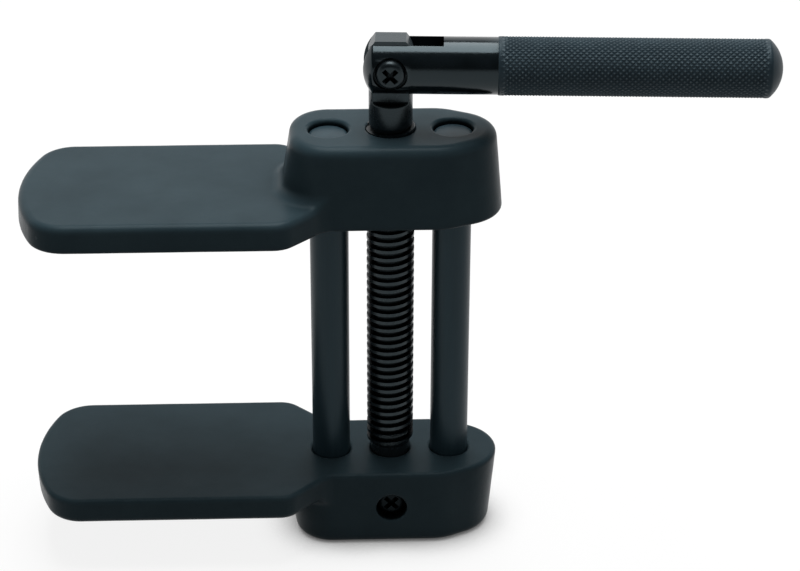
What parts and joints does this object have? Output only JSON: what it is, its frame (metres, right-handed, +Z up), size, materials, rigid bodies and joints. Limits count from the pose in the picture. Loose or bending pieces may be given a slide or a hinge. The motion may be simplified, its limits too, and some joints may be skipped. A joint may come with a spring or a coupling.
{
  "type": "brake pad spreader",
  "caption": "Screw-operated disc brake pad and caliper piston spreader: flat paddle jaws on guide rods, opened by a threaded shaft with a folding knurled handle.",
  "frame": {"origin": "on the foot of the lower jaw, on the axis of the drive screw", "axes": "+X from the paddles towards the free end of the handle, +Y to the back (the cross-recessed heads face -Y), +Z up along the screw"},
  "size_m": [0.2492, 0.0638, 0.1839],
  "materials": {
    "forged_jaw": "forged steel with a satin black phosphate coat, slightly grainy",
    "ground_rod": "ground steel bar, blackened, satin",
    "bearing_steel": "polished bearing steel",
    "small_screws": "black oxide",
    "blackened_screw": "turned steel, black oxide, oiled to a gloss",
    "blackened_handle": "turned steel bar, glossy black oxide, knurled over the grip"
  },
  "bodies": {
    "frame": {"lower_jaw": "forged_jaw", "guide_rod_inner": "ground_rod", "guide_rod_outer": "ground_rod", "thrust_ball": "bearing_steel", "retaining_screw": "small_screws"},
    "sliding_jaw": {"upper_jaw": "forged_jaw"},
    "spindle": {"drive_screw": "blackened_screw"},
    "crank": {"handle_bar": "blackened_handle", "hinge_screw": "small_screws"}
  },
  "joints": [
    {"name": "spindle_turn", "type": "hinge", "parent": "frame", "child": "spindle", "pos_m": [0, 0, 0.029], "axis": [0, 0, 1], "range_deg": [0, 10080]},
    {"name": "crank_fold", "type": "hinge", "parent": "spindle", "child": "crank", "pos_m": [0, 0, 0.1742], "axis": [-0.0541, -0.9985, 0], "range_deg": [-20, 194]},
    {"name": "jaw_slide", "type": "slide", "parent": "frame", "child": "sliding_jaw", "axis": [0, 0, 1], "range_m": [-0.084, 0]}
  ],
  "couplings": [
    {"joint": "jaw_slide", "follows": "spindle_turn", "m_per_rad": -0.00047746}
  ]
}
